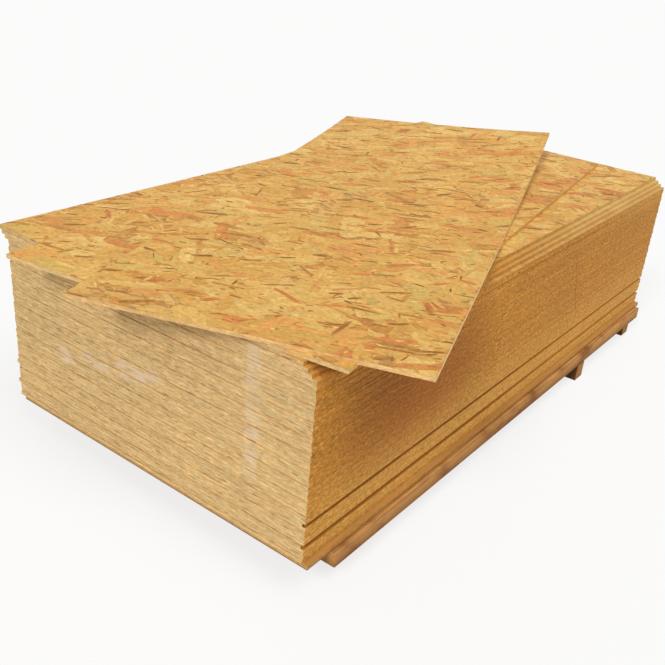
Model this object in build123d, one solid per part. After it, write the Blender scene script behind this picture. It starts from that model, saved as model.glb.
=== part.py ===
"""A pile of oriented strand board panels on a base of planks and bearers, with two loose panels turned on top."""
import os
from math import acos, cos, radians, sin

from build123d import *

# Panels of the pile: one standard format, square edged
panel_length = 2500.0
panel_width = 1250.0
panel_thickness = 12.0
panel_count = 50

# How far single panels stray from the squared pile
stray_x = 1.4
stray_y = 1.2
stray_x_share = 0.618
stray_y_share = 0.755

# The top panels were pushed back from the right side, each further than the one below
step_count = 3
step_width = 15.0

# Panels set back a little on the right side leave dark seams there, given as shares of the pile's height
seam_setback = 9.0
seam_height_shares = (0.08, 0.21)

# Both loose panels were cut shorter than the pile
loose_length = 2440.0

# Lower loose panel: narrower than the pile, turned on it
lower_width = 1125.0
lower_turn_deg = 8.7
lower_offset_x = -48.0
lower_offset_y = -98.0

# Upper loose panel: narrower still, turned further, bent up towards its far right corner
upper_width = 1000.0
upper_turn_deg = 19.25
upper_offset_x = -3.0
upper_offset_y = -133.0
curl_direction_deg = 48.0
curl_lift = 80.0
curl_start = 104.0

# Base sheet under the pile, out of line with it
base_thickness = 15.0
base_offset_x = 16.0
base_offset_y = 3.0

# Planks along the length under the base sheet
plank_width = 100.0
plank_thickness = 48.0
plank_near_setback = 107.0
plank_far_setback = 23.0
plank_reach = 17.0

# Squared timbers across the width, which stand on the floor
bearer_width = 66.0
bearer_height = 70.0
bearer_length = 1200.0
bearer_place_shares = (-0.32, 0.0, 0.226, 0.461)
bearer_shift_shares = (-0.016, -0.02, 0.05, 0.033)

# Heights of the faces that pieces rest on
plank_floor = bearer_height
base_floor = plank_floor + plank_thickness
pile_floor = base_floor + base_thickness
pile_top = pile_floor + panel_count * panel_thickness

ON_FLOOR = (Align.CENTER, Align.CENTER, Align.MIN)


def wander(index, share):
    """An even scatter between -1 and 1 that never settles into a rhythm."""
    return 2 * ((index * share) % 1) - 1


def panel_place(index):
    """Where one panel of the pile lies: it strays a little, and some panels are set back from the right side."""
    x = stray_x * wander(index, stray_x_share)
    y = stray_y * wander(index, stray_y_share)
    seam_indices = [round(share * panel_count) for share in seam_height_shares]
    if index in seam_indices:
        x -= seam_setback
    x -= step_width * max(0, index - (panel_count - 1 - step_count))
    return Pos(x, y, pile_floor + index * panel_thickness)


def panel(index):
    """One flat panel of the pile."""
    return panel_place(index) * Box(panel_width, panel_length, panel_thickness, align=ON_FLOOR)


def lower_loose_panel():
    """The flat panel turned on the pile."""
    sheet = Box(lower_width, loose_length, panel_thickness, align=ON_FLOOR)
    return Pos(lower_offset_x, lower_offset_y, pile_top) * Rot(0, 0, lower_turn_deg) * sheet


def curled_sheet(width, length, thickness):
    """A flat sheet whose far right corner bends up on a wide arc, about a line set across that corner."""
    heading = radians(curl_direction_deg)
    corner_reach = cos(heading) * width / 2 + sin(heading) * length / 2
    bend_reach = corner_reach - curl_start
    bend_radius = (bend_reach ** 2 + curl_lift ** 2) / (2 * curl_lift)
    bend_end = acos(1 - 2 * curl_lift / bend_radius)
    across = width + length
    middle = bend_end / 2
    inner_radius = bend_radius - thickness

    def on_arc(radius, angle):
        return (curl_start + radius * sin(angle), bend_radius - radius * cos(angle))

    with BuildLine() as outline:
        Line((-across, 0), on_arc(bend_radius, 0))
        ThreePointArc(on_arc(bend_radius, 0), on_arc(bend_radius, middle), on_arc(bend_radius, bend_end))
        Line(on_arc(bend_radius, bend_end), on_arc(inner_radius, bend_end))
        ThreePointArc(on_arc(inner_radius, bend_end), on_arc(inner_radius, middle), on_arc(inner_radius, 0))
        Line(on_arc(inner_radius, 0), (-across, thickness))
        Line((-across, thickness), (-across, 0))
    section = Plane((0, 0, 0), x_dir=(cos(heading), sin(heading), 0), z_dir=(sin(heading), -cos(heading), 0))
    bent = extrude(section * make_face(outline.line), amount=across, both=True)
    cutter_height = 2 * (thickness + 2 * curl_lift)
    return bent & Box(width, length, cutter_height)


def upper_loose_panel():
    """The narrower panel, turned further, flat on the one below but for its curled corner."""
    seat = pile_top + panel_thickness
    sheet = curled_sheet(upper_width, loose_length, panel_thickness)
    return Pos(upper_offset_x, upper_offset_y, seat) * Rot(0, 0, upper_turn_deg) * sheet


def base_sheet():
    """The sheet that the pile stands on."""
    sheet = Box(panel_width, panel_length, base_thickness, align=ON_FLOOR)
    return Pos(base_offset_x, base_offset_y, base_floor) * sheet


def runner_plank(side):
    """A plank along the length: side -1 is the left one, 0 the middle one and 1 the right one."""
    reach = panel_width / 2 + plank_reach - plank_width / 2
    length = panel_length - plank_near_setback - plank_far_setback
    middle_y = (plank_near_setback - plank_far_setback) / 2
    plank = Box(plank_width, length, plank_thickness, align=ON_FLOOR)
    return Pos(base_offset_x + side * reach, middle_y, plank_floor) * plank


def bearer(place_share, shift_share):
    """A squared timber across the width, on the floor."""
    timber = Box(bearer_length, bearer_width, bearer_height, align=ON_FLOOR)
    return Pos(shift_share * bearer_length, place_share * panel_length, 0) * timber


nodes = {f"panel_{index + 1:02d}": panel(index) for index in range(panel_count)}
nodes["loose_panel_lower"] = lower_loose_panel()
nodes["loose_panel_upper"] = upper_loose_panel()
nodes["base_sheet"] = base_sheet()
for name, side in (("left", -1), ("middle", 0), ("right", 1)):
    nodes[f"runner_plank_{name}"] = runner_plank(side)
for number, (place_share, shift_share) in enumerate(zip(bearer_place_shares, bearer_shift_shares), start=1):
    nodes[f"bearer_{number}"] = bearer(place_share, shift_share)

os.makedirs("parts", exist_ok=True)
for name, solid in nodes.items():
    export_step(solid, f"parts/{name}.step")
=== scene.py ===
import math

import bmesh
import bpy
import numpy as np
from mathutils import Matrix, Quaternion, Vector
from mathutils.bvhtree import BVHTree


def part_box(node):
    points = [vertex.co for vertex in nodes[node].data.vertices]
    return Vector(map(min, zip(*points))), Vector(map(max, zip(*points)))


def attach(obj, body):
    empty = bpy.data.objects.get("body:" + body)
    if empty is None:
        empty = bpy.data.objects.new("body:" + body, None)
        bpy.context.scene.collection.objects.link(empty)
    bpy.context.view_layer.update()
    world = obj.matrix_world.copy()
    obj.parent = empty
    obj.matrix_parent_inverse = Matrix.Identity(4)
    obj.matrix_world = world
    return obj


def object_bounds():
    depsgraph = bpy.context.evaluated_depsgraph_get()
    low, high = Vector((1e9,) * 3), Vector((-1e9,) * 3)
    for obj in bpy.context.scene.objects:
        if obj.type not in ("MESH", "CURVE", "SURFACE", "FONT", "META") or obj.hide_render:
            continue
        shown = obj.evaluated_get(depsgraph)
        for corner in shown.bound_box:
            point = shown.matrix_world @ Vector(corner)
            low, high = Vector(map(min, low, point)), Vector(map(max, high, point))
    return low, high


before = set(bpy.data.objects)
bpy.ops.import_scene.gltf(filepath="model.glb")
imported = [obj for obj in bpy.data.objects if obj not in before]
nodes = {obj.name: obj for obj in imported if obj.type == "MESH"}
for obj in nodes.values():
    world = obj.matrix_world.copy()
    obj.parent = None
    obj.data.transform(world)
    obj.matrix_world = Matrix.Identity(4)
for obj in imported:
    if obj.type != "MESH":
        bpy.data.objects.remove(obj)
cad_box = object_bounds()
scene = bpy.context.scene


# Bearers: four squared softwood timbers laid across the width, straight on the floor.
# They are sawn from small logs, so the grain runs along them and the cut ends show growth rings.
# Nothing fixes them: the planks above rest on them.
class Wire:
    """A shader socket that can stand in sums, with numbers on either side of it."""

    def __init__(self, socket):
        self.socket = socket
        self.tree = socket.id_data

    def node(self, kind, settings=None, sockets=None, out=0):
        """Adds a node to the same material: its settings first, then the values or links of its sockets."""
        made = self.tree.nodes.new(kind)
        for name, value in (settings or {}).items():
            if name == "stops":
                first, *middle, last = value
                made.color_ramp.elements[0].position, made.color_ramp.elements[0].color = first
                made.color_ramp.elements[1].position, made.color_ramp.elements[1].color = last
                for place, colour in middle:
                    made.color_ramp.elements.new(place).color = colour
            else:
                setattr(made, name, value)
        for name, value in (sockets or {}).items():
            if isinstance(value, Wire):
                self.tree.links.new(value.socket, made.inputs[name])
            else:
                made.inputs[name].default_value = value
        return Wire(made.outputs[out])

    def sum_with(self, operation, *values):
        """A Math node of any operation on the given values."""
        return self.node("ShaderNodeMath", {"operation": operation}, dict(enumerate(values)))

    def __add__(self, other):
        return self.sum_with("ADD", self, other)

    def __radd__(self, other):
        return self.sum_with("ADD", other, self)

    def __sub__(self, other):
        return self.sum_with("SUBTRACT", self, other)

    def __rsub__(self, other):
        return self.sum_with("SUBTRACT", other, self)

    def __mul__(self, other):
        return self.sum_with("MULTIPLY", self, other)

    def __rmul__(self, other):
        return self.sum_with("MULTIPLY", other, self)

    def __truediv__(self, other):
        return self.sum_with("DIVIDE", self, other)

    def __rtruediv__(self, other):
        return self.sum_with("DIVIDE", other, self)

    def __pow__(self, other):
        return self.sum_with("POWER", self, other)

    def __rpow__(self, other):
        return self.sum_with("POWER", other, self)

    def __mod__(self, other):
        return self.sum_with("FLOORED_MODULO", self, other)

    def __rmod__(self, other):
        return self.sum_with("FLOORED_MODULO", other, self)

    def __abs__(self):
        return self.sum_with("ABSOLUTE", self)

    def __floor__(self):
        return self.sum_with("FLOOR", self)

    def link(self, target):
        """Leads the socket to an input of a node that is there already."""
        self.tree.links.new(self.socket, target)


def tone(red, green, blue):
    """A colour as it is given, 0 to 255, turned into the light values that the shader takes."""
    shares = [channel / 255 for channel in (red, green, blue)]
    linear = [share / 12.92 if share <= 0.04045 else ((share + 0.055) / 1.055) ** 2.4 for share in shares]
    return (*linear, 1.0)


def new_finish(name):
    """A new material with its shader, the place on the piece and the way that the surface faces."""
    finish = bpy.data.materials.new(name)
    finish.use_nodes = True
    shader = finish.node_tree.nodes["Principled BSDF"]
    start = Wire(shader.inputs["Base Color"])
    place = start.node("ShaderNodeTexCoord", out="Object")
    facing = start.node("ShaderNodeNewGeometry", out="True Normal")
    return finish, shader, place, facing


def axes_of(vector):
    """The three parts of a vector."""
    return [vector.node("ShaderNodeSeparateXYZ", {}, {0: vector}, axis) for axis in range(3)]


fine_detail = 4.0


def streaks(place, waves, detail=3.0, shift=0.0):
    """Noise drawn out by its own length along each axis, in metres; a length of 0 leaves that axis out.

    A shift takes another part of the noise, so that two patterns of one kind don't fall together.
    """
    rates = [1 / wave if wave else 0.0 for wave in waves]
    drawn = place.node("ShaderNodeVectorMath", {"operation": "MULTIPLY_ADD"},
                       {0: place, 1: rates, 2: (shift,) * 3})
    return drawn.node("ShaderNodeTexNoise", {}, {"Vector": drawn, "Scale": 1.0, "Detail": detail})


def rise(value, low, high):
    """0 below low, 1 above high, with a soft step between them."""
    return value.node("ShaderNodeMapRange", {"interpolation_type": "SMOOTHSTEP"}, {0: value, 1: low, 2: high})


def spread(value, low, high):
    """Low where the value is 0, high where it is 1, and evenly between them."""
    return value * (high - low) + low


def squarely(part):
    """1 where a surface faces along an axis, from that part of its facing, and 0 where it lies along it."""
    leaning = 0.6
    square = 0.9
    return rise(part, leaning, square)


def laid_over(mask, under, over):
    """One colour laid over another where the mask is 1."""
    return mask.node("ShaderNodeMix", {"data_type": "RGBA"}, {0: mask, 6: under, 7: over}, 2)


def shaded(colour, amount):
    """A colour made lighter or darker by an amount."""
    return amount.node("ShaderNodeVectorMath", {"operation": "SCALE"}, {0: colour, "Scale": amount})


def raised(height, depth, strength):
    """Relief for the shader's normal, from a height between 0 and 1 that stands for a depth in metres."""
    return height.node("ShaderNodeBump", {}, {"Strength": strength, "Distance": depth, "Height": height})


def bare_wood(shader, colour, roughness, relief):
    """Gives a shader the colour, roughness and relief of bare wood, which has little sheen."""
    sheen = 0.15
    colour.link(shader.inputs["Base Color"])
    roughness.link(shader.inputs["Roughness"])
    relief.link(shader.inputs["Normal"])
    shader.inputs["Specular IOR Level"].default_value = sheen


def sawn_timber(name, piece, along, early_tone, late_tone, stain_tone, shaded_flank_share, foot_dark_share):
    """Finish of one sawn timber: growth rings about a pith just under it, drawn out along its length.

    Its long faces keep only a share of the brightness of its cut ends, which is painted shade, and it is
    darker towards its foot.
    """
    pith_below = 0.03
    ring_width = 0.0062
    ring_wander = 0.02
    wander_length = 0.7
    wander_width = 0.05
    late_sharpness = 2.0
    late_share = 0.7
    fibre_length = 0.12
    fibre_width = 0.0016
    fibre_shades = (0.5, 1.5)
    stain_waves = (0.21, 0.17, 0.12)
    stain_step = (0.47, 0.68)
    stain_share = 0.7
    foot_dark_rise_share = 0.75
    foot_dark_wander = 0.02
    foot_dark_lift = 0.01
    fibre_roughness = (0.62, 0.92)
    ring_relief_share = 0.3
    relief_depth = 0.0011
    relief_strength = 0.6

    finish, shader, place, facing = new_finish(name)
    low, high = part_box(piece)
    pith = (low + high) / 2
    pith.z = low.z - pith_below
    about_pith = place.node("ShaderNodeVectorMath", {"operation": "SUBTRACT"}, {0: place, 1: pith})
    offsets = axes_of(about_pith)
    across = offsets[1 - along]
    up = offsets[2]
    wander_waves = [wander_width] * 3
    wander_waves[along] = wander_length
    fibre_waves = [fibre_width] * 3
    fibre_waves[along] = fibre_length

    wander = streaks(about_pith, wander_waves)
    radius = (across * across + up * up) ** 0.5 + wander * ring_wander
    turn = radius * (2 * math.pi / ring_width)
    ring = turn.sum_with("SINE", turn) * 0.5 + 0.5
    fibre = streaks(place, fibre_waves, fine_detail)
    stain = rise(streaks(place, stain_waves, fine_detail), *stain_step)
    foot_dark_low = low.z + foot_dark_lift
    foot_dark_high = foot_dark_low + (high.z - low.z) * foot_dark_rise_share
    # It grows darker towards its foot.
    foot_dark = 1 - rise(axes_of(place)[2] + wander * foot_dark_wander, foot_dark_low, foot_dark_high)
    cut_end = squarely(abs(axes_of(facing)[along]))

    wood = laid_over(ring ** late_sharpness * late_share, early_tone, late_tone)
    wood = laid_over(stain * stain_share, wood, stain_tone)
    wood = laid_over(foot_dark * foot_dark_share, wood, stain_tone)
    # Long faces keep only a share of the brightness: painted shade.
    wood = shaded(wood, spread(fibre, *fibre_shades) * spread(cut_end, shaded_flank_share, 1.0))
    height = fibre * (1 - ring_relief_share) + ring * ring_relief_share
    bare_wood(shader, wood, spread(fibre, *fibre_roughness), raised(height, relief_depth, relief_strength))
    return finish


def dress(piece, finish):
    """Gives a piece its one finish."""
    piece.data.materials.clear()
    piece.data.materials.append(finish)


across_width = 0
bearer_early = tone(178, 128, 66)
bearer_late = tone(146, 98, 46)
bearer_stain = tone(128, 88, 46)
# The bearers' long faces are darkened, painted shade from the pile that stands over them.
bearer_shaded_flank_share = 0.3
bearer_foot_dark_share = 0.3
for bearer in sorted(name for name in nodes if name.startswith("bearer_")):
    bearer_finish = sawn_timber(f"{bearer}_timber", bearer, across_width, bearer_early, bearer_late,
                                bearer_stain, bearer_shaded_flank_share, bearer_foot_dark_share)
    dress(nodes[bearer], bearer_finish)


# Runner planks: three sawn planks along the length, flat on the bearers, which they tie together.
# They are rough softwood, browner than the boards, with long grain and dark patches.
# The outer two stand out past the sheet above, so a strip of their upper face shows.
along_length = 1
plank_early = tone(202, 150, 88)
plank_late = tone(142, 96, 46)
plank_stain = tone(116, 64, 24)
plank_shaded_flank_share = 1.0
plank_foot_dark_share = 0.6
for plank in sorted(name for name in nodes if name.startswith("runner_plank_")):
    plank_finish = sawn_timber(f"{plank}_timber", plank, along_length, plank_early, plank_late,
                               plank_stain, plank_shaded_flank_share, plank_foot_dark_share)
    dress(nodes[plank], plank_finish)


# Base sheet: one sheet of board under the whole pile, out of line with it, laid on the planks.
# It is pressed from strands like the panels above, and it is darker than they are, partly as painted shade
# for its place under the pile.
soft_detail = 2.0


def edge_layers(place):
    """The flat layers of strands that show on a sawn edge."""
    waves = (0.070, 0.030, 0.0060)
    return streaks(place, waves, fine_detail)


def edge_grain(place):
    """Torn fibres on a sawn edge, longer on the ends than on the sides."""
    waves = (0.030, 0.015, 0.0055)
    return streaks(place, waves, shift=4.2)


def edge_flecks(place):
    """Fine crumbs of wood on a sawn edge."""
    waves = (0.010, 0.010, 0.0045)
    return streaks(place, waves, shift=7.3)


def edge_cloud(place):
    """Shade of broad lighter and darker zones over a side."""
    waves = (0.30, 0.40, 0.45)
    shades = (0.82, 1.18)
    return spread(streaks(place, waves, shift=2.9), *shades)


def board_joints(place, colour, height, flecks, dark_tone, foot, thickness):
    """Dark joints between the boards of a pile, deeper in places, and a shade of its own for each board."""
    luck_waves = (0.30, 0.20, 0.012)
    luck_step = (0.42, 0.66)
    joint_shares = (0.2, 0.52)
    joint_step = (0.76, 1.0)
    raggedness = 0.4
    board_shades = (0.93, 1.07)
    joint_dip = 0.9

    boards_up = (axes_of(place)[2] - foot) / thickness
    from_core = abs(boards_up % 1 - 0.5) * 2
    joint_luck = rise(streaks(place, luck_waves, shift=5.9), *luck_step)
    joint = rise(from_core + (flecks - 0.5) * raggedness, *joint_step) * spread(joint_luck, *joint_shares)
    board = math.floor(boards_up)
    board_luck = board.node("ShaderNodeTexWhiteNoise", {"noise_dimensions": "1D"}, {"W": board})
    colour = laid_over(joint, shaded(colour, spread(board_luck, *board_shades)), dark_tone)
    return colour, height - joint * joint_dip


def sawn_edge(place, facing, end_tone, side_tone, dark_tone, light_tone, board_rows):
    """Colour and height of sawn edges, with dark and pale dashes where strands were cut across."""
    layer_shades = (0.65, 1.35)
    grain_shades = (0.6, 1.4)
    fleck_shades = (0.6, 1.4)
    dark_waves = (0.024, 0.014, 0.0050)
    dark_step = (0.60, 0.74)
    dark_share = 0.5
    dark_dip = 0.4
    light_waves = (0.034, 0.014, 0.0050)
    light_step = (0.58, 0.74)
    light_share = 0.45

    layers = edge_layers(place)
    flecks = edge_flecks(place)
    dark_dash = rise(streaks(place, dark_waves, soft_detail, shift=3.1), *dark_step)
    light_dash = rise(streaks(place, light_waves, soft_detail, shift=11.7), *light_step)
    on_end = squarely(abs(axes_of(facing)[1]))
    shade = spread(layers, *layer_shades) * spread(edge_grain(place), *grain_shades)
    shade = shade * spread(flecks, *fleck_shades) * edge_cloud(place)
    colour = shaded(laid_over(on_end, side_tone, end_tone), shade)
    colour = laid_over(light_dash * light_share, colour, light_tone)
    colour = laid_over(dark_dash * dark_share, colour, dark_tone)
    height = layers * 0.5 + flecks * 0.5 - dark_dash * dark_dip
    if board_rows:
        return board_joints(place, colour, height, flecks, dark_tone, *board_rows)
    return colour, height


def strand_face(place):
    """Colour and height of a face: layers of strands, each turned its own way over part of the one below,
    with painted shade at each strand's rim.
    """
    # Turn, length and width of the strands in each layer, and the share of the layer below left bare
    strand_layers = ((0.15, 0.13, 0.030, 0.0), (1.25, 0.09, 0.020, 0.45),
                     (-0.5, 0.10, 0.018, 0.5), (0.32, 0.12, 0.016, 0.55))
    strand_stops = ((0.0, tone(186, 128, 62)), (0.2, tone(210, 154, 82)), (0.55, tone(218, 168, 94)),
                    (0.8, tone(226, 182, 110)), (1.0, tone(212, 146, 80)))
    fibre_waves = (0.07, 0.0025, 0.0)
    fibre_shades = (0.8, 1.2)
    rim_shade_step = (0.42, 0.62)
    rim_shade_share = 0.3
    cover_blur = 0.02

    for number, (turn, length, width, bare_share) in enumerate(strand_layers):
        apart = (number * 3.7, number * 1.9, 0.0)
        turned = place.node("ShaderNodeMapping", {"vector_type": "POINT"},
                            {"Vector": place, "Location": apart, "Rotation": (0, 0, turn)})
        drawn = turned.node("ShaderNodeVectorMath", {"operation": "MULTIPLY"},
                            {0: turned, 1: (1 / length, 1 / width, 0.0)})
        cell = {"Vector": drawn, "Scale": 1.0, "Randomness": 1.0}
        luck = axes_of(drawn.node("ShaderNodeTexVoronoi", {"voronoi_dimensions": "2D"}, cell, "Color"))
        reach = drawn.node("ShaderNodeTexVoronoi", {"voronoi_dimensions": "2D"}, cell, "Distance")
        strand = luck[0].node("ShaderNodeValToRGB", {"stops": strand_stops}, {0: luck[0]})
        strand_height = luck[1]
        fibres = streaks(turned, fibre_waves, soft_detail, shift=number * 2.3)
        # Each strand darkens at its rim: painted shade between the strands.
        strand = shaded(strand, spread(fibres, *fibre_shades) * (1 - rise(reach, *rim_shade_step) * rim_shade_share))
        if number > 0:
            cover = rise(luck[2], bare_share, bare_share + cover_blur)
            strand = laid_over(cover, colour, strand)
            strand_height = cover * strand_height + (1 - cover) * height
        colour = strand
        height = strand_height
    return colour, height


def strand_board(name, end_tone, side_tone, dark_tone, light_tone, board_rows=None, marks=None, faced=True):
    """Finish of a pressed strand board: strands lie flat on its faces, and show as thin layers on its edges.

    A pile of boards gives the height of its foot and the thickness of a board as board_rows. A sheet that is
    not faced shows so little of its faces that plain long grain will do there.
    """
    long_grain_waves = (0.006, 0.14, 0.006)
    long_grain_shades = (0.72, 1.22)
    board_roughness = (0.5, 0.75)
    relief_depth = 0.0016
    relief_strength = 0.55

    finish, shader, place, facing = new_finish(name)
    on_face = squarely(abs(axes_of(facing)[2]))
    colour, height = sawn_edge(place, facing, end_tone, side_tone, dark_tone, light_tone, board_rows)
    if faced:
        face, face_height = strand_face(place)
        height = height * (1 - on_face) + face_height * on_face
    else:
        long_grain = streaks(place, long_grain_waves, shift=5.1)
        face = shaded(side_tone[:3], spread(long_grain, *long_grain_shades))
    colour = laid_over(on_face, colour, face)
    if marks:
        colour = marks(colour, place, facing)
    roughness = spread(edge_layers(place), *board_roughness)
    bare_wood(shader, colour, roughness, raised(height, relief_depth, relief_strength))
    return finish


base_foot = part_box("base_sheet")[0].z


def base_foot_shadow(colour, place, facing):
    """Painted shadow: a dark line along the sheet's foot, in the corner where it meets the planks."""
    shadow_line_low = 0.002
    shadow_line_high = 0.0055
    shadow_line_share = 0.75
    shadow_line_tone = tone(122, 74, 24)
    shadow_line = 1 - rise(axes_of(place)[2], base_foot + shadow_line_low, base_foot + shadow_line_high)
    return laid_over(shadow_line * shadow_line_share, colour, shadow_line_tone)


base_end_tone = tone(192, 148, 90)
base_side_tone = tone(186, 136, 72)
base_dark_tone = tone(120, 76, 30)
base_light_tone = tone(214, 164, 96)
base_finish = strand_board("base_board", base_end_tone, base_side_tone, base_dark_tone, base_light_tone,
                           marks=base_foot_shadow, faced=False)
dress(nodes["base_sheet"], base_finish)


# Pile of panels: fifty boards of oriented strand, pressed with resin, sawn square and stacked by machine.
# Their ends are pale, their long sides deeper brown, and each board strays a little from the pile.
panel_names = sorted(name for name in nodes if name.startswith("panel_"))
pile_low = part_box(panel_names[0])[0]
pile_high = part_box(panel_names[-1])[1]
panel_thickness = (pile_high.z - pile_low.z) / len(panel_names)
fresh_step_count = 3
step_floor = pile_high.z - fresh_step_count * panel_thickness
seam_boards = (4, 10)
seam_shade_depths = (0.4, 0.9)


def boards_above_foot(z):
    """Height on the pile, counted in boards."""
    return (z - pile_low.z) / panel_thickness


def worn_patches(place):
    """Uneven patches where the boards were rubbed."""
    waves = (0.07, 0.07, 0.022)
    step = (0.44, 0.6)
    return rise(streaks(place, waves, fine_detail, shift=1.7), *step)


def end_scuffs(colour, place, facing):
    """Pale marks of handling on the near end: an upright band on its right, and a scuff that climbs."""
    pale_tone = tone(226, 202, 172)
    band_left = (0.402, 0.416)
    band_right = (0.452, 0.464)
    band_foot = (0.27, 0.36)
    band_waves = (0.05, 0.05, 0.02)
    band_wander = 0.02
    band_shares = (0.16, 0.56)
    scuff_slope = 0.225
    scuff_height = 0.464
    scuff_breadth = (0.012, 0.05)
    scuff_left = (-0.43, -0.36)
    scuff_right = (0.02, 0.1)
    scuff_share = 0.7

    x, _, z = axes_of(place)
    near_end = squarely(axes_of(facing)[1] * -1)
    patch = worn_patches(place)
    band_x = x + streaks(place, band_waves, shift=9.1) * band_wander
    band = rise(band_x, *band_left) * (1 - rise(band_x, *band_right)) * rise(z, *band_foot)
    scuff = 1 - rise(abs(z - (x * scuff_slope + scuff_height)), *scuff_breadth)
    scuff = scuff * rise(x, *scuff_left) * (1 - rise(x, *scuff_right))
    pale = band * spread(patch, *band_shares) + scuff * patch * scuff_share
    return laid_over(near_end * pale, colour, pale_tone)


def side_stain_shadow_and_dust(colour, place, facing):
    """A red stain in the middle of the right side's near half, deepened as painted shadow under the
    overhanging boards, and pale dust low down and at the far top.
    """
    stain_tone = tone(142, 68, 17)
    stain_shadow_y = -0.74
    stain_shadow_z = 0.47
    stain_shadow_length = 0.55
    stain_shadow_height = 0.34
    stain_shadow_fade = (0.2, 1.0)
    stain_share = 0.6
    dust_tone = tone(227, 177, 92)
    low_dust_heights = (0.16, 0.46)
    top_dust_heights = (0.58, 0.74)
    top_dust_lengths = (0.2, 1.2)
    dust_share = 0.45

    _, y, z = axes_of(place)
    right_side = squarely(axes_of(facing)[0])
    from_y = (y - stain_shadow_y) / stain_shadow_length
    from_z = (z - stain_shadow_z) / stain_shadow_height
    stain = 1 - rise((from_y * from_y + from_z * from_z) ** 0.5, *stain_shadow_fade)
    # The stain is partly real and partly painted shadow of the boards that overhang it.
    colour = laid_over(right_side * stain * stain_share, colour, stain_tone)
    low_dust = 1 - rise(z, *low_dust_heights)
    top_dust = rise(z, *top_dust_heights) * rise(y, *top_dust_lengths)
    return laid_over(right_side * (low_dust + top_dust) * dust_share, colour, dust_tone)


def side_speckle(colour, place, facing):
    """Coarse light and dark specks on both long sides, where strands were cut across."""
    speck_waves = (0.013, 0.014, 0.0095)
    speck_step = (0.34, 0.66)
    speck_shades = (-0.19, 0.19)
    long_side = squarely(abs(axes_of(facing)[0]))
    speck = rise(streaks(place, speck_waves, shift=13.0), *speck_step)
    return shaded(colour, long_side * spread(speck, *speck_shades) + 1)


def side_scratch(colour, place, facing):
    """One thin scratch that runs up the right side just past its middle, leaning towards the near end."""
    scratch_tone = tone(142, 86, 30)
    scratch_y = 0.587
    scratch_lean = 0.42
    scratch_breadth = (0.002, 0.007)
    scratch_foot = (0.28, 0.36)
    scratch_top = (0.60, 0.67)
    scratch_share = 0.55

    _, y, z = axes_of(place)
    right_side = squarely(axes_of(facing)[0])
    scratch = 1 - rise(abs(y + z * scratch_lean - scratch_y), *scratch_breadth)
    scratch = scratch * rise(z, *scratch_foot) * (1 - rise(z, *scratch_top))
    return laid_over(right_side * scratch * scratch_share, colour, scratch_tone)


def seam_shade_lines(colour, place, facing):
    """Painted shade: dark seams on the right side where two boards lie further in, on their faces and on the
    ledges below them, which fade towards the far end.
    """
    dark_tone = tone(104, 58, 18)
    near_ledge_shade_tone = tone(164, 106, 36)
    far_ledge_shade_tone = tone(196, 136, 50)
    ledge_shade_share = 0.9
    board_foot = (-0.04, -0.02)
    board_top = (0.94, 0.98)
    fade_lengths = (-0.4, 0.5)
    fade_share = 0.9

    _, y, z = axes_of(place)
    face_x, _, face_z = axes_of(facing)
    right_side = squarely(face_x)
    upward = squarely(face_z)
    faded = rise(y, *fade_lengths)
    ledge_shade_tone = laid_over(faded, near_ledge_shade_tone, far_ledge_shade_tone)
    # Recessed faces and the ledges below them are darkened: painted shade.
    for seam, depth in zip(seam_boards, seam_shade_depths):
        above_seam = boards_above_foot(z) - seam
        in_seam = rise(above_seam, *board_foot) * (1 - rise(above_seam, *board_top))
        colour = laid_over(upward * in_seam * ledge_shade_share, colour, ledge_shade_tone)
        colour = laid_over(right_side * in_seam * (1 - faded * fade_share) * depth, colour, dark_tone)
    return colour


def open_joint(colour, place, facing):
    """A joint high on the right side that gapes a little along the middle of the pile."""
    joint_tone = tone(128, 76, 26)
    board_above = 45
    joint_breadth = (0.10, 0.26)
    joint_near = (-0.6, -0.4)
    joint_far = (0.4, 0.9)
    joint_share = 0.8

    _, y, z = axes_of(place)
    right_side = squarely(axes_of(facing)[0])
    joint = 1 - rise(abs(boards_above_foot(z) - board_above), *joint_breadth)
    joint = joint * rise(y, *joint_near) * (1 - rise(y, *joint_far))
    return laid_over(right_side * joint * joint_share, colour, joint_tone)


def fresh_steps(colour, place, facing):
    """The stepped top boards, whose treads and right sides are fresher wood, paler towards the far end."""
    tread_tone = tone(198, 142, 66)
    tread_share = 0.85
    fresh_tone = tone(218, 184, 114)
    fresh_lengths = (-0.5, 0.7)
    fresh_shares = (0.08, 0.8)
    patch_shares = (0.7, 1.1)
    blur = 0.001

    _, y, z = axes_of(place)
    face_x, _, face_z = axes_of(facing)
    on_steps = rise(z, step_floor - blur, step_floor + blur)
    under_top = 1 - rise(z, pile_high.z - 3 * blur, pile_high.z - blur)
    tread = squarely(face_z) * on_steps * under_top
    colour = laid_over(tread * tread_share, colour, tread_tone)
    fresh = tread.sum_with("MAXIMUM", squarely(face_x) * on_steps, tread)
    share = spread(rise(y, *fresh_lengths), *fresh_shares) * spread(worn_patches(place), *patch_shares)
    return laid_over(fresh * share, colour, fresh_tone)


def handling_marks(colour, place, facing):
    """All that handling and storing left on the pile, with painted shade in its seams and painted shadow in
    the side stain, in the order in which it lies on the wood.
    """
    for mark in (end_scuffs, side_stain_shadow_and_dust, side_speckle, side_scratch, seam_shade_lines, open_joint, fresh_steps):
        colour = mark(colour, place, facing)
    return colour


panel_end_tone = tone(214, 180, 123)
panel_side_tone = tone(194, 132, 43)
panel_dark_tone = tone(132, 86, 34)
panel_light_tone = tone(234, 204, 150)
panel_finish = strand_board("strand_board", panel_end_tone, panel_side_tone, panel_dark_tone,
                            panel_light_tone, (pile_low.z, panel_thickness), handling_marks)
for panel in panel_names:
    dress(nodes[panel], panel_finish)


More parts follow.
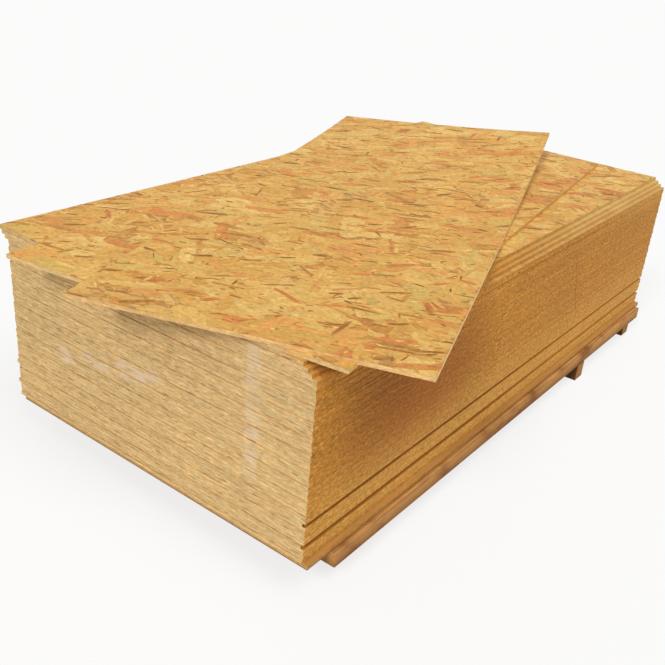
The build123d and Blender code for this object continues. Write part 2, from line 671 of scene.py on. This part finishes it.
def flake_outlines(chance, rim, spots, lengths, widths, turns):
    """Outlines of thin flakes on a plane: the ragged points of the rim, then the middle.

    The second result is the same outlines before their turn, along and across each flake.
    """
    ragged_reach = (0.8, 1.14)
    ragged = rim * chance.uniform(*ragged_reach, (len(spots), len(rim), 1))
    shape = np.concatenate((ragged, np.zeros((len(spots), 1, 2))), axis=1)
    flip = chance.choice((-1.0, 1.0), (len(spots), 1))
    along = shape[:, :, 0] * flip * lengths[:, None] / 2
    across = shape[:, :, 1] * flip * widths[:, None] / 2
    cos = np.cos(turns)[:, None]
    sin = np.sin(turns)[:, None]
    corners = np.stack((along * cos - across * sin, along * sin + across * cos), axis=2) + spots[:, None, :]
    return corners, np.stack((along, across), axis=2)


def picked_tones(chance, count, palette, rim_count, ground, softness):
    """Tones for the points of each flake, from a weighted palette of (weight, colour).

    The rim goes over into the colour of the ground by a share that differs from point to point.
    """
    flake_shades = (0.93, 1.07)
    weights = np.array([weight for weight, colour in palette])
    colours = np.array([colour[:3] for weight, colour in palette])
    picks = chance.choice(len(palette), count, p=weights / weights.sum())
    middles = (colours[picks] * chance.uniform(*flake_shades, (count, 1)))[:, None, :]
    shares = chance.uniform(0.0, softness, (count, rim_count, 1))
    rims = middles * (1 - shares) + np.array(ground[:3]) * shares
    return np.concatenate((rims, middles), axis=1)


def strand_piece(name, tops, feet, lengthwise, tones, finish):
    """Joins flakes into one mesh of closed thin plates and lays it on the body of the stack.

    Its points keep the place along and across their flake, with a third number that is 1 at the rim.
    """
    grain_apart = (0.37, 0.11)
    count, top_count = tops.shape[:2]
    rim_count = top_count - 1
    points = np.concatenate((tops, feet), axis=1)
    rim = list(range(rim_count))
    pairs = list(zip(rim, rim[1:] + rim[:1]))
    flake = [(rim_count, a, b) for a, b in pairs]
    flake += [(b, a, a + top_count, b + top_count) for a, b in pairs]
    flake.append(tuple(corner + top_count for corner in reversed(rim)))
    step = top_count + rim_count
    faces = [tuple(corner + number * step for corner in face) for number in range(count) for face in flake]
    mesh = bpy.data.meshes.new(name)
    mesh.from_pydata(points.reshape(-1, 3).tolist(), [], faces)
    grain = np.ones((count, step, 3))
    grain[:, :, :2] = np.concatenate((lengthwise, lengthwise[:, :rim_count]), axis=1)
    grain[:, :, :2] += np.arange(count)[:, None, None] * grain_apart
    grain[:, rim_count, 2] = 0.0
    mesh.attributes.new("strand_grain", "FLOAT_VECTOR", "POINT").data.foreach_set("vector", grain.ravel())
    colours = np.ones((count, step, 4))
    colours[:, :, :3] = np.concatenate((tones, tones[:, :rim_count]), axis=1)
    mesh.attributes.new("strand_tone", "FLOAT_COLOR", "POINT").data.foreach_set("color", colours.ravel())
    piece = bpy.data.objects.new(name, mesh)
    scene.collection.objects.link(piece)
    dress(piece, finish)
    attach(piece, "root")


def strand_marks(place):
    """The tone that each strand was given, and the place along and across it."""
    own_tone = place.node("ShaderNodeAttribute", {"attribute_name": "strand_tone"}, {}, "Color")
    grain = place.node("ShaderNodeAttribute", {"attribute_name": "strand_grain"}, {}, "Vector")
    return own_tone, grain


strand_relief_depth = 0.0008
strand_relief_strength = 0.5


def edge_strand_finish(name):
    """Finish of strands cut across on the edges: its own tone for each, torn fibres and the pile's marks."""
    fibre_waves = (0.03, 0.0012, 0.0)
    fibre_shades = (0.8, 1.2)
    grain_shades = (0.55, 1.45)
    fibre_roughness = (0.5, 0.8)
    finish, shader, place, facing = new_finish(name)
    own_tone, grain = strand_marks(place)
    fibres = streaks(grain, fibre_waves)
    shade = spread(fibres, *fibre_shades) * spread(edge_grain(place), *grain_shades) * edge_cloud(place)
    wood = handling_marks(shaded(own_tone, shade), place, facing)
    height = fibres * 0.5 + edge_flecks(place) * 0.5
    relief = raised(height, strand_relief_depth, strand_relief_strength)
    bare_wood(shader, wood, spread(fibres, *fibre_roughness), relief)
    return finish


edge_finish = edge_strand_finish("edge_strands")
end_palette = ((5, tone(211, 177, 121)), (4, tone(222, 190, 136)), (3, tone(200, 164, 109)),
               (1.4, tone(180, 142, 89)), (0.5, tone(152, 112, 66)), (1.2, tone(228, 200, 154)))
side_palette = ((5, tone(194, 132, 43)), (4, tone(206, 146, 58)), (3, tone(180, 118, 36)),
                (1.6, tone(160, 99, 30)), (0.5, tone(130, 76, 24)), (1.2, tone(212, 160, 78)))
edge_rim = np.array([(-1.0, -0.4), (-0.3, -1.0), (0.7, -0.9), (1.0, 0.1), (0.4, 1.0), (-0.6, 0.9)])
# Each corner of a flake is lifted by up to this much more, so that no two flakes lie in one plane
strand_warp = 0.00015


def edge_strands(name, axis, outward, palette, per_metre, lengths, bare_boards, seed):
    """Strands that stand a little proud on one side of the pile, within the thickness of each board."""
    widths = (0.0012, 0.0038)
    turn_spread = 0.04
    sink = 0.0006
    proud = 0.0007
    proud_shares = (0.15, 1.0)
    joint_gap = 0.0002
    softness = 0.5

    chance = np.random.default_rng(seed)
    reach = 1 - axis
    rim_count = len(edge_rim)
    order = list(range(rim_count))
    if (outward > 0) != (axis == 0):
        order.reverse()
    top_order = order + [rim_count]
    all_tops, all_feet, all_lengthwise, all_tones = [], [], [], []
    for number, panel in enumerate(panel_names):
        if number in bare_boards:
            continue
        low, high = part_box(panel)
        count = int((high[reach] - low[reach]) * per_metre)
        along_spots = chance.uniform(low[reach], high[reach], count)
        up_spots = chance.uniform(low.z, high.z, count)
        flake_lengths = chance.uniform(*lengths, count)
        flake_widths = chance.uniform(*widths, count)
        turns = chance.normal(0.0, turn_spread, count)
        spots = np.column_stack((along_spots, up_spots))
        corners, lengthwise = flake_outlines(chance, edge_rim, spots, flake_lengths, flake_widths, turns)
        surface = high[axis] if outward > 0 else low[axis]
        lifts = chance.uniform(*proud_shares, (count, 1)) * proud
        warps = chance.uniform(0.0, strand_warp, (count, rim_count + 1))
        tops = np.zeros((count, rim_count + 1, 3))
        tops[:, :, reach] = np.clip(corners[:, :, 0], low[reach], high[reach])
        tops[:, :, 2] = np.clip(corners[:, :, 1], low.z + joint_gap, high.z - joint_gap)
        tops[:, :, axis] = surface + outward * (lifts + warps)
        feet = tops[:, :rim_count].copy()
        feet[:, :, axis] = surface - outward * sink
        all_tops.append(tops[:, top_order])
        all_feet.append(feet[:, order])
        all_lengthwise.append(lengthwise[:, top_order])
        all_tones.append(picked_tones(chance, count, palette, rim_count, palette[0][1], softness))
    strand_piece(name, np.concatenate(all_tops), np.concatenate(all_feet), np.concatenate(all_lengthwise),
                 np.concatenate(all_tones), edge_finish)


end_lengths = (0.014, 0.050)
end_per_metre = 46
side_lengths = (0.006, 0.020)
side_per_metre = 48
edge_strands("near_end_strands", along_length, -1, end_palette, end_per_metre, end_lengths, (), seed=3)
edge_strands("far_end_strands", along_length, 1, end_palette, end_per_metre, end_lengths, (), seed=4)
edge_strands("right_side_strands", across_width, 1, side_palette, side_per_metre, side_lengths, seam_boards,
             seed=5)
edge_strands("left_side_strands", across_width, -1, side_palette, side_per_metre, side_lengths, (), seed=6)


def board_outline(node):
    """The four corners of a board seen from above, in order, from the extreme points of its mesh.

    A board that lies square has no four such points, and takes the corners of its box.
    """
    digits = 4
    points = np.array([vertex.co[:] for vertex in nodes[node].data.vertices])[:, :2]
    left = points[points[:, 0].argmin()]
    right = points[points[:, 0].argmax()]
    near = points[points[:, 1].argmin()]
    far = points[points[:, 1].argmax()]
    if len({tuple(np.round(point, digits)) for point in (near, right, far, left)}) == 4:
        return np.array((near, right, far, left))
    low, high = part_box(node)
    return np.array(((low.x, low.y), (high.x, low.y), (high.x, high.y), (low.x, high.y)))


def inside(points, outline):
    """True for each point that lies within a convex outline, given in order."""
    after = np.roll(outline, -1, axis=0)
    ways = after - outline
    gaps = points[..., None, :] - outline
    return np.all(ways[:, 0] * gaps[..., 1] - ways[:, 1] * gaps[..., 0] > 0, axis=-1)


sandy = tone(219, 168, 87)
flake_palette = ((5, tone(219, 169, 88)), (5, tone(226, 181, 100)), (4, tone(211, 157, 76)),
                 (3.4, tone(231, 192, 113)), (2.4, tone(222, 156, 82)), (1.5, tone(212, 132, 67)),
                 (2, tone(210, 177, 95)), (1, tone(194, 134, 61)), (0.5, tone(186, 108, 52)))
strand_palette = ((5, tone(218, 165, 84)), (4, tone(231, 189, 108)), (3, tone(204, 146, 67)),
                  (2.2, tone(220, 142, 73)), (1.4, tone(202, 114, 56)), (1.6, tone(213, 181, 100)),
                  (1.4, tone(178, 120, 52)), (0.8, tone(150, 96, 39)))
chip_palette = ((3, tone(236, 201, 121)), (3, tone(203, 144, 67)), (2, tone(180, 120, 52)),
                (1.2, tone(152, 98, 41)), (1.5, tone(212, 132, 67)))
# Dark flakes that stand for the shadows in crevices under and between strands: painted shade.
crevice_shade_palette = ((3, tone(152, 94, 34)), (2, tone(130, 76, 22)), (2.4, tone(174, 114, 48)),
               (0.7, tone(112, 66, 22)))
face_rim = np.array([(-1.0, -0.35), (-0.7, -0.95), (-0.1, -0.85), (0.55, -1.0), (0.98, -0.5), (0.9, 0.45),
                     (0.35, 0.9), (-0.3, 1.0), (-0.9, 0.7)])
# Each kind of flake: how many lie on a square metre, their lengths, their widths, the share lying any way,
# their lifts, their tones and how far their rims go over into the sandy ground
flake_kinds = ((160, (0.14, 0.30), (0.060, 0.130), 0.45, (0.0001, 0.0003), flake_palette, 0.55),
               (140, (0.09, 0.20), (0.028, 0.060), 0.4, (0.0003, 0.0006), flake_palette, 0.75),
               (110, (0.06, 0.14), (0.010, 0.024), 0.4, (0.0004, 0.0008), strand_palette, 0.7),
               (150, (0.012, 0.04), (0.004, 0.011), 0.5, (0.0006, 0.0010), chip_palette, 0.6),
               (60, (0.040, 0.115), (0.007, 0.016), 0.1, (0.0007, 0.0010), crevice_shade_palette, 0.6),
               (100, (0.014, 0.045), (0.0035, 0.008), 0.3, (0.0008, 0.0011), crevice_shade_palette, 0.4))


def face_strand_finish(name):
    """Finish of strands on a face: fibres along each, dust over them, and painted shade in the gaps at their
    rims.
    """
    fibre_waves = (0.06, 0.0024, 0.0)
    fibre_shades = (0.75, 1.25)
    fibre_roughness = (0.42, 0.72)
    broad_waves = (0.05, 0.011, 0.0)
    broad_shades = (0.82, 1.18)
    mottle_waves = (0.014, 0.010, 0.0)
    mottle_shades = (0.62, 1.38)
    dust_waves = (0.028, 0.028, 0.0)
    dust_step = (0.42, 0.66)
    dust_share = 0.34
    gap_shade_waves = (0.022, 0.014, 0.0)
    gap_shade_step = (0.54, 0.66)
    gap_shade_rim = (0.80, 1.0)
    gap_shade_tone = tone(138, 84, 28)
    gap_shade_share = 0.7
    gap_dip = 0.6

    finish, shader, place, _ = new_finish(name)
    own_tone, grain = strand_marks(place)
    fibres = streaks(grain, fibre_waves)
    broad = streaks(grain, broad_waves, soft_detail, shift=4.4)
    mottle = streaks(place, mottle_waves, shift=8.8)
    dust = rise(streaks(place, dust_waves, shift=1.3), *dust_step)
    # The rims of the strands go dark in places: painted shade in the gaps between them.
    gap_shade = rise(axes_of(grain)[2], *gap_shade_rim) * rise(streaks(place, gap_shade_waves, shift=6.1), *gap_shade_step)
    wood = laid_over(dust * dust_share, own_tone, sandy)
    shade = spread(fibres, *fibre_shades) * spread(broad, *broad_shades) * spread(mottle, *mottle_shades)
    wood = laid_over(gap_shade * gap_shade_share, shaded(wood, shade), gap_shade_tone)
    height = fibres * 0.5 + broad * 0.5 - gap_shade * gap_dip
    relief = raised(height, strand_relief_depth, strand_relief_strength)
    bare_wood(shader, wood, spread(fibres, *fibre_roughness), relief)
    return finish


face_finish = face_strand_finish("face_strands")


def face_strands(name, node, covered_by, lie, seed):
    """Strands pressed into the top face of a board, where no other board covers it.

    Most of them lie at one angle to the width of the board, given in degrees.
    """
    turn_spread = 0.3
    sink = 0.0004
    cast_height = 1.0
    inward_share = 1e-5

    chance = np.random.default_rng(seed)
    rim_count = len(face_rim)
    near, right, _, left = board_outline(node)
    width = np.linalg.norm(right - near)
    length = np.linalg.norm(left - near)
    width_way = (right - near) / width
    length_way = (left - near) / length
    all_corners, all_lengthwise, all_tones, all_lifts = [], [], [], []
    for per_area, lengths, widths, free_share, lifts, palette, softness in flake_kinds:
        count = int(width * length * per_area)
        spots = np.column_stack((chance.uniform(0, width, count), chance.uniform(0, length, count)))
        turns = chance.normal(math.radians(lie), turn_spread, count)
        free = chance.random(count) < free_share
        turns[free] = chance.uniform(0, math.pi, free.sum())
        flake_lengths = chance.uniform(*lengths, count)
        flake_widths = chance.uniform(*widths, count)
        corners, lengthwise = flake_outlines(chance, face_rim, spots, flake_lengths, flake_widths, turns)
        all_corners.append(corners)
        all_lengthwise.append(lengthwise)
        all_tones.append(picked_tones(chance, count, palette, rim_count, sandy, softness))
        warps = chance.uniform(0.0, strand_warp, (count, rim_count + 1))
        all_lifts.append(chance.uniform(*lifts, (count, 1)) + warps)
    corners = np.concatenate(all_corners)
    lengthwise = np.concatenate(all_lengthwise)
    tones = np.concatenate(all_tones)
    lifts = np.concatenate(all_lifts)
    corners[:, :, 0] = np.clip(corners[:, :, 0], 0.0, width)
    corners[:, :, 1] = np.clip(corners[:, :, 1], 0.0, length)
    flat = near + corners[:, :, :1] * width_way + corners[:, :, 1:] * length_way
    if covered_by:
        shown = ~np.all(inside(flat, board_outline(covered_by)), axis=1)
        flat, lengthwise, tones, lifts = flat[shown], lengthwise[shown], tones[shown], lifts[shown]

    # The height of the face under each point, taken a hair further in so that the rim of the board counts too
    shape = nodes[node].data
    shape.calc_loop_triangles()
    surface = BVHTree.FromPolygons([vertex.co for vertex in shape.vertices],
                                   [triangle.vertices for triangle in shape.loop_triangles])
    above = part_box(node)[1].z + cast_height
    down = Vector((0, 0, -1))
    middle = flat.reshape(-1, 2).mean(axis=0)
    heights = np.empty(flat.shape[:2])
    for number, points in enumerate(flat):
        for corner, (px, py) in enumerate(points + (middle - points) * inward_share):
            heights[number, corner] = surface.ray_cast(Vector((px, py, above)), down)[0].z
    top_heights = np.minimum(heights + lifts, cad_box[1][2])
    tops = np.concatenate((flat, top_heights[:, :, None]), axis=2)
    feet = np.concatenate((flat, heights[:, :, None] - sink), axis=2)[:, :rim_count]
    strand_piece(name, tops, feet, lengthwise, tones, face_finish)


face_strands("pile_top_strands", panel_names[-1], "loose_panel_lower", lie=33, seed=21)


# Lower loose panel: a board of the same make cut narrower, lying turned with three corners out past the pile.
# It is held by nothing but its weight, and its near edge throws a shadow on the ends below.
lower_end_tone = tone(218, 182, 122)
lower_side_tone = tone(222, 172, 96)
lower_dark_tone = tone(150, 104, 50)
lower_light_tone = tone(236, 206, 150)
lower_finish = strand_board("lower_loose_board", lower_end_tone, lower_side_tone, lower_dark_tone,
                            lower_light_tone)
dress(nodes["loose_panel_lower"], lower_finish)
face_strands("lower_face_strands", "loose_panel_lower", "loose_panel_upper", lie=25, seed=22)


# Upper loose panel: a narrower board turned further, the one whose face shows most.
# It lies flat but for its far right corner, which has curled up as the board dried.
upper_end_tone = tone(224, 180, 116)
# Its long edges are paler than those of the lower board: a painted highlight along them.
upper_lit_side_tone = tone(240, 204, 142)
upper_dark_tone = tone(196, 152, 92)
upper_light_tone = tone(240, 210, 156)
upper_finish = strand_board("upper_loose_board", upper_end_tone, upper_lit_side_tone, upper_dark_tone,
                            upper_light_tone)
dress(nodes["loose_panel_upper"], upper_finish)
face_strands("upper_face_strands", "loose_panel_upper", None, lie=15, seed=23)


# Floor, light and camera: a pale, dull floor that the stack stands on and that keeps its shadow.
# One soft lamp stands high over the right side and one lower in front, in an evenly lit white room.
# The camera has the view of the photograph, out from the near right corner and above the top.
floor_reach = 60.0
floor_shape = bmesh.new()
bmesh.ops.create_grid(floor_shape, x_segments=1, y_segments=1, size=floor_reach)
floor_mesh = bpy.data.meshes.new("floor")
floor_shape.to_mesh(floor_mesh)
floor_shape.free()
floor = bpy.data.objects.new("floor", floor_mesh)
scene.collection.objects.link(floor)

white = (1.0, 1.0, 1.0, 1.0)
floor_tone = tone(240, 240, 238)
floor_waves = (0.9, 0.9, 0.0)
floor_shades = (0.99, 1.01)
floor_roughness = 0.9
floor_white_share = 0.75
floor_finish, floor_shader, floor_place, _ = new_finish("pale_floor")
floor_shade = spread(streaks(floor_place, floor_waves), *floor_shades)
shaded(floor_tone[:3], floor_shade).link(floor_shader.inputs["Base Color"])
floor_shader.inputs["Roughness"].default_value = floor_roughness
floor_shader.inputs["Specular IOR Level"].default_value = 0.0


def seen_directly(start):
    """1 for rays from the camera, also by way of gloss or glass."""
    camera_ray, glossy_ray, glass_ray = [start.node("ShaderNodeLightPath", out=ray) for ray in
                                         ("Is Camera Ray", "Is Glossy Ray", "Is Transmission Ray")]
    seen = start.sum_with("MAXIMUM", camera_ray, glossy_ray)
    return start.sum_with("MAXIMUM", seen, glass_ray)


floor_seen = seen_directly(floor_place) * floor_white_share
white_glow = floor_seen.node("ShaderNodeEmission", {}, {"Color": white, "Strength": 1.0})
floor_light = Wire(floor_shader.outputs[0])
floor_mix = floor_seen.node("ShaderNodeMixShader", {}, {0: floor_seen, 1: floor_light, 2: white_glow})
floor_mix.link(floor_finish.node_tree.nodes["Material Output"].inputs["Surface"])
dress(floor, floor_finish)

room_strength = 0.36
room = bpy.data.worlds.new("room")
room.use_nodes = True
scene.world = room
room_shader = room.node_tree.nodes["Background"]
room_shader.inputs["Color"].default_value = white
room_seen = seen_directly(Wire(room_shader.inputs["Strength"]))
spread(room_seen, room_strength, 1.0).link(room_shader.inputs["Strength"])


def soft_lamp(name, from_way, strength, breadth):
    """A broad soft lamp, far off on one side, that lights everything evenly; its breadth is in degrees."""
    lamp = bpy.data.lights.new(name, "SUN")
    lamp.energy = strength
    lamp.angle = math.radians(breadth)
    holder = bpy.data.objects.new(name, lamp)
    holder.rotation_euler = Vector(from_way).to_track_quat("Z", "Y").to_euler()
    scene.collection.objects.link(holder)


soft_lamp("overhead_lamp", from_way=(0.50, -0.12, 0.857), strength=1.22, breadth=32)
soft_lamp("front_lamp", from_way=(0.12, -0.76, 0.64), strength=1.44, breadth=16)

camera_spot = (1.6955, -2.7021, 1.7253)
camera_azimuth = math.radians(35.565)
camera_elevation = math.radians(26.345)
camera_roll = math.radians(5.089)
photo_width = 665
photo_focal_length = 865.77
sensor_width = 36.0
sight_limit = 300.0
camera_data = bpy.data.cameras.new("camera")
camera_data.sensor_width = sensor_width
camera_data.lens = sensor_width * photo_focal_length / photo_width
camera_data.clip_end = sight_limit
camera = bpy.data.objects.new("camera", camera_data)
towards = Vector((-math.sin(camera_azimuth) * math.cos(camera_elevation),
                  math.cos(camera_azimuth) * math.cos(camera_elevation), -math.sin(camera_elevation)))
camera.rotation_mode = "QUATERNION"
camera.rotation_quaternion = towards.to_track_quat("-Z", "Y") @ Quaternion((0.0, 0.0, 1.0), camera_roll)
camera.location = camera_spot
scene.collection.objects.link(camera)
scene.camera = camera
scene.view_settings.view_transform = "Standard"
